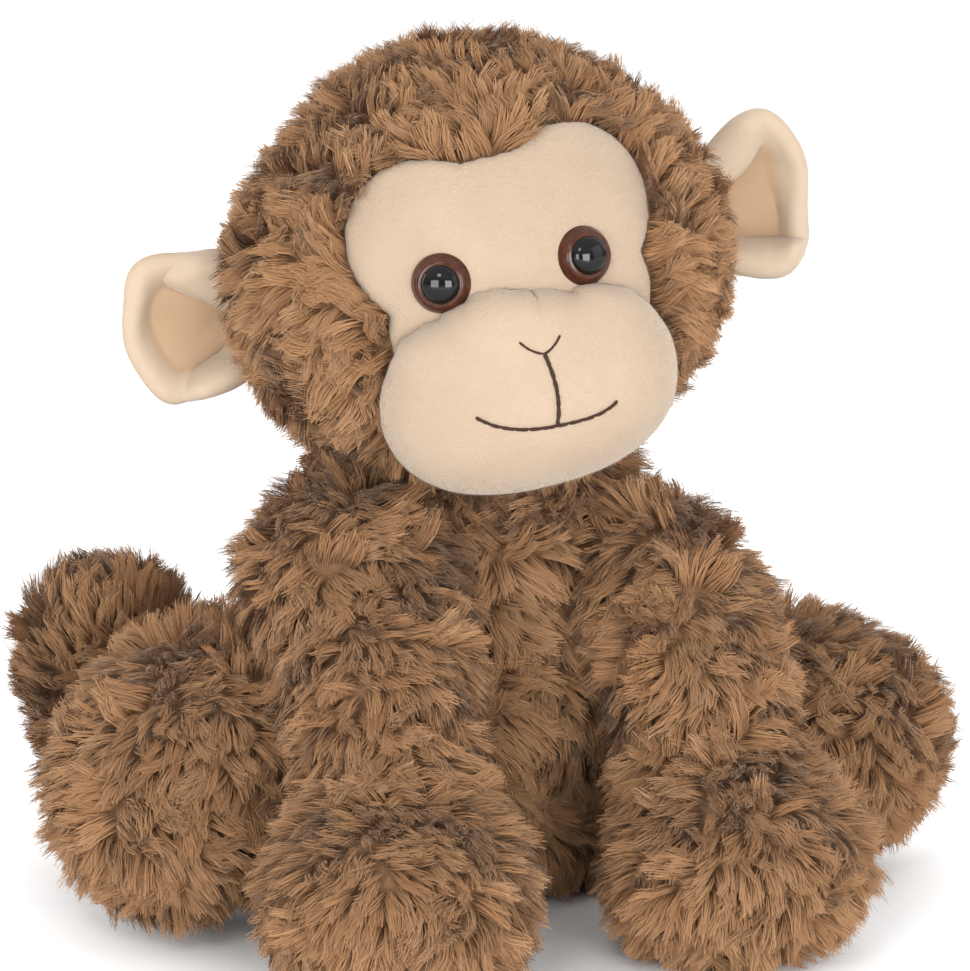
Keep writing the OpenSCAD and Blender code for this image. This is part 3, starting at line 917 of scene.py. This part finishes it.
def make_ear(side, sign):
    """A turned velour ear, gathered at its root, so that its top and bottom roll forwards."""
    local = to_head(coords(NODES[f"{side}_ear_back"].data))
    mid = (local.min(0) + local.max(0)) / 2
    outline = smooth_line(EAR_OUTLINES[side] + EAR_OUTLINES[side][:1], 1.1)
    rows, columns = 30, len(outline)
    middle = Vector(EAR_MIDDLE)
    points, tones, faces = [], [], []
    for i in range(rows + 1):
        r = i / rows
        for rim in outline:
            rim = rim.to_2d()
            spot = middle + (rim - middle) * r
            depth, lip = ear_depth(spot, rim, r, EAR_CREASES[side])
            points.append((sign * (EAR_ROOT + spot.x) * MM, mid[1] + depth, mid[2] + spot.y * MM))
            # Tone: painted shade deep in the bowl, and painted light towards the rim and on the rolled lips.
            tones.append(0.15 + 0.15 * r + 0.55 * lip)
    for i in range(rows):
        for j in range(columns):
            a, b = i * columns + j, i * columns + (j + 1) % columns
            faces.append((a, b, b + columns, a + columns)[::sign])
    mesh = bpy.data.meshes.new(f"{side}_ear_velour")
    mesh.from_pydata([HEAD @ Vector(p) for p in points], [], faces)
    mesh.attributes.new("tone", "FLOAT", "POINT").data.foreach_set("value", tones)
    ear = new_object(f"{side}_ear_velour", mesh)
    crumple = swirl_field(coords(mesh), 21 * MM, np.random.default_rng(SEED + 80 + sign))
    set_coords(mesh, coords(mesh) + 0.6 * MM * crumple)
    modify(ear, "WELD", merge_threshold=0.02 * MM)
    modify(ear, "SOLIDIFY", thickness=3.4 * MM, offset=0.0)
    smooth(ear, 2)
    modify(ear, "SUBSURF", levels=1)
    shade(ear, MATERIALS["shaded_ear"])
    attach(ear, f"{side}_ear")
    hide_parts(f"{side}_ear_front", f"{side}_ear_back")
    nap(ear, f"{side}_ear_nap", f"{side}_ear", 3e6, 0.4 * MM, np.random.default_rng(SEED + 70 + sign))


def lathe(name, profile, axis, centre, turns=64):
    """A surface of revolution. The profile's points are (radius, height) from the axis's base."""
    turn = Vector(axis).to_track_quat("Z", "Y")
    points, faces = [], []
    for radius, height in profile:
        for k in range(turns):
            a = 2 * math.pi * k / turns
            spot = Vector((radius * math.cos(a), radius * math.sin(a), height))
            points.append(Vector(centre) + turn @ spot)
    for i in range(len(profile) - 1):
        for k in range(turns):
            a, b = i * turns + k, i * turns + (k + 1) % turns
            faces.append((a, b, b + turns, a + turns))
    mesh = bpy.data.meshes.new(name)
    mesh.from_pydata(points, [], faces)
    bm = bmesh.new()
    bm.from_mesh(mesh)
    bmesh.ops.remove_doubles(bm, verts=bm.verts, dist=0.01 * MM)
    bmesh.ops.holes_fill(bm, edges=bm.edges)
    bmesh.ops.recalc_face_normals(bm, faces=bm.faces)
    bm.to_mesh(mesh)
    bm.free()
    return new_object(name, mesh)


def dress_eye(obj, side, node, material):
    shade(obj, MATERIALS[material])
    modify(obj, "SUBSURF", levels=1)
    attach(obj, "head")
    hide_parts(f"{side}_eye_{node}")


def ring_profile(ring_r, pupil_r):
    """The brown ring: its foot under the patch, its rolled edge, and a flat seat for the pupil."""
    profile = [(0.0, -5.5 * MM), (ring_r * 0.8, -5.5 * MM), (ring_r * 0.98, -4.6 * MM), (ring_r, -3.6 * MM)]
    roll = 3.1 * MM
    for k in range(9):
        r = ring_r * (0.985 - 0.04 * k) if k else ring_r * 0.99
        profile.append((r, roll * math.sin(math.pi / 2 * min(1, k / 7)) - roll))
    return profile + [(pupil_r * 1.02, 0.15 * MM), (pupil_r * 0.9, -0.3 * MM), (0.0, -0.3 * MM)]


def bead_profile(pupil_r, rise, steps=12):
    """The pupil: a dome on a flat base that is sunk in the ring."""
    sunk = 0.8 * MM
    profile = [(0.0, -sunk), (pupil_r, -sunk)]
    for k in range(steps + 1):
        a = math.pi / 2 * k / steps
        profile.append((pupil_r * math.cos(a), rise * math.sin(a)))
    return profile


def make_eyes():
    """Glossy safety eyes: a brown ring with a rolled edge, and a black domed pupil in it."""
    for side in ("right", "left"):
        iris = coords(NODES[f"{side}_eye_iris"].data)
        pupil = coords(NODES[f"{side}_eye_pupil"].data)
        middle = iris.mean(0)
        axis = unit(pupil.mean(0) - middle)
        front = (iris @ axis).max()
        seat = middle + axis * (front - middle @ axis)
        ring_r, pupil_r = (
            np.linalg.norm(part - middle - np.outer((part - middle) @ axis, axis), axis=1).max()
            for part in (iris, pupil)
        )
        rise = (pupil @ axis).max() - front + 0.4 * MM
        ring = lathe(f"{side}_eye_ring", ring_profile(ring_r, pupil_r), axis, seat)
        dress_eye(ring, side, "iris", "iris")
        bead = lathe(f"{side}_eye_bead", bead_profile(pupil_r, rise), axis, seat)
        dress_eye(bead, side, "pupil", "pupil")
        shade(NODES[f"{side}_eye_washer"], MATERIALS["washer"])


# Stitched lines, in millimetres across and up the face from the head's centre.
NOSE_ARMS = [(-4.7, -8.6), (-2.4, -11.2), (0.8, -12.9), (3.7, -11.6), (6.0, -9.4)]
NOSE_STEM = [(0.8, -12.9), (1.5, -17.5), (1.6, -22.6), (1.0, -27.3), (0.0, -31.1)]
MOUTH = [(-19.2, -24.2), (-15.2, -27.2), (-10.0, -29.4), (-4.6, -30.6), (0.8, -31.1), (6.0, -31.3),
         (10.0, -31.1), (13.4, -30.4), (16.4, -29.0)]
STITCH = 3.4 * MM  # the length of one stitch


def line_on(surface, points, step):
    """Where a line on the face meets a surface, every step millimetres: the places and their normals."""
    tree = BVHTree.FromObject(surface, bpy.context.evaluated_depsgraph_get())
    line = []
    for spot in smooth_line(points, step):
        start = HEAD @ Vector((spot.x * MM, -120 * MM, spot.y * MM))
        hit, normal, _, _ = tree.ray_cast(start, HEAD_BACK)
        line.append((hit, normal))
    return line


def stitch_line(name, points, radius, muzzle):
    """A line of back stitches on the muzzle. The thread dips into the velour between two stitches."""
    sides, step = 10, 0.35
    line = line_on(muzzle, points, step)
    last = len(line) - 1
    verts, faces = [], []
    for i, (spot, normal) in enumerate(line):
        ahead = line[min(i + 1, last)][0] - line[max(i - 1, 0)][0]
        along = ahead.normalized()
        across = along.cross(normal).normalized()
        up = across.cross(along)
        phase = (i * step * MM / STITCH) % 1
        dip = abs(2 * phase - 1) ** 6
        taper = 0.35 if i in (0, last) else 1.0
        centre = spot + up * (radius * (0.75 - dip))
        for k in range(sides):
            a = 2 * math.pi * k / sides
            twist = 1 + 0.10 * math.sin(2 * a + i * 0.9)
            r = radius * taper * twist * (1 - 0.25 * dip)
            verts.append(centre + across * math.cos(a) * r + up * math.sin(a) * r * 0.8)
    for i in range(last):
        for k in range(sides):
            a, b = i * sides + k, i * sides + (k + 1) % sides
            faces.append((a, b, b + sides, a + sides))
    faces.append(tuple(reversed(range(sides))))
    faces.append(tuple(range(last * sides, len(line) * sides)))
    mesh = bpy.data.meshes.new(name)
    mesh.from_pydata(verts, [], faces)
    obj = new_object(name, mesh)
    shade(obj, MATERIALS["thread"])
    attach(obj, "head")
    return obj


def make_head():
    patch, muzzle = make_face()
    make_ear("right", -1)
    make_ear("left", 1)
    make_eyes()
    arms = stitch_line("nose_arms", NOSE_ARMS, 0.30 * MM, muzzle)
    stitch_line("nose_stem", NOSE_STEM, 0.50 * MM, muzzle)
    mouth = stitch_line("mouth_line", MOUTH, 0.44 * MM, muzzle)
    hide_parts("nose_stitch")
    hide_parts("mouth_stitch")
    head = make_hide("head", "head_filling", 0.8 * MM, also=("head_skin",))
    widen_cheeks(head, 6 * MM)
    finish_hide(head, "head")
    rng = np.random.default_rng(SEED)
    allowed = clear_of([patch, muzzle], 9 * MM)
    pile = {**FUR, "tousle": 1.2, "swirl": 20 * MM, "turn": 70}
    grow("head_fur", "head", head, head_comb, pile, rng, allowed)


MATERIALS = make_materials()
make_camera()
make_studio()
make_head()
make_body()
